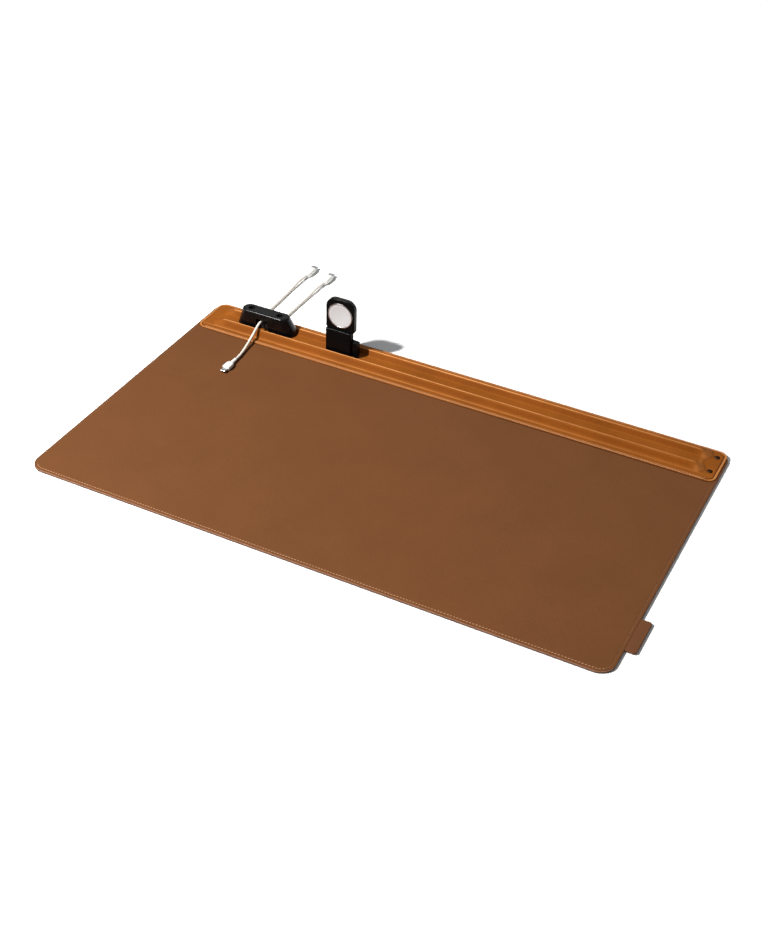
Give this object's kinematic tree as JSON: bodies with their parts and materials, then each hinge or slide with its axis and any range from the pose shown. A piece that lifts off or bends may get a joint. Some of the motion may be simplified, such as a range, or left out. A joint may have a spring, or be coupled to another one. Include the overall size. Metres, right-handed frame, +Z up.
{
  "type": "desk charging mat",
  "caption": "Tan leather desk mat with a moulded docking rail along its back, a sliding cable dock with leads and a sliding upright wireless watch charger.",
  "frame": {"origin": "middle of the mat's underside, on the desk", "axes": "+X along the mat to the right, +Y towards the rail at the back, +Z up"},
  "size_m": [0.641, 0.5036, 0.0752],
  "materials": {
    "mat_leather": "smooth tan leather",
    "rail_leather": "thicker orange-tan leather",
    "tag_leather": "tan leather, raw edges",
    "underside_rubber": "matt, non-slip",
    "core_board": "pressed fibre board",
    "moulded_core": "moulded filler",
    "thread": "waxed thread",
    "rivet_metal": "antiqued, dull",
    "steel": "plain strip",
    "magnet": "nickel plated",
    "screw_steel": "zinc plated",
    "black_shell": "fine satin black",
    "black_base": "matt black",
    "pad_rubber": "soft black",
    "white_cord": "smooth white",
    "white_plug": "satin white",
    "plug_metal": "drawn steel shell",
    "ring_aluminium": "fine polished rim",
    "pale_face": "white, slightly dished",
    "copper": "enamelled copper winding",
    "ferrite": "ferrite sheet",
    "circuit_board": "green board"
  },
  "bodies": {
    "mat": {"mat_base": "underside_rubber", "mat_core": "core_board", "mat_top_leather": "mat_leather", "mat_stitching": "thread", "leather_tag": "tag_leather", "rail_front_core": "moulded_core", "rail_rear_core": "moulded_core", "rail_steel_strip": "steel", "rail_leather": "rail_leather", "rail_stitching": "thread", "rail_rivets": "rivet_metal"},
    "cable_dock": {"dock_cover": "black_shell", "dock_base": "black_base", "dock_pads": "pad_rubber", "dock_magnets": "magnet", "dock_cable_clip": "black_base", "dock_well_liners": "pad_rubber", "dock_screws": "screw_steel", "front_lead": "white_cord", "front_plug_grip": "white_plug", "front_plug_tip": "plug_metal", "rear_lead_left": "white_cord", "rear_plug_left_grip": "white_plug", "rear_plug_left_tip": "plug_metal", "rear_lead_right": "white_cord", "rear_plug_right_grip": "white_plug", "rear_plug_right_tip": "plug_metal"},
    "watch_stand": {"stand_body": "black_shell", "stand_base": "black_base", "stand_pads": "pad_rubber", "stand_magnets": "magnet", "stand_side_block": "black_shell", "usb_inlet": "plug_metal", "stand_base_screws": "screw_steel", "head_back_shell": "black_shell", "head_front_plate": "black_shell", "neck_plate": "steel", "charge_ring": "ring_aluminium", "charge_face": "pale_face", "charge_coil": "copper", "ferrite_disc": "ferrite", "align_magnet": "magnet", "charge_board": "circuit_board", "head_screws": "screw_steel"}
  },
  "joints": [
    {"name": "dock_slide", "type": "slide", "parent": "mat", "child": "cable_dock", "axis": [1, 0, 0], "range_m": [-0.008, 0.018]},
    {"name": "stand_slide", "type": "slide", "parent": "mat", "child": "watch_stand", "axis": [1, 0, 0], "range_m": [-0.022, 0.385]}
  ]
}
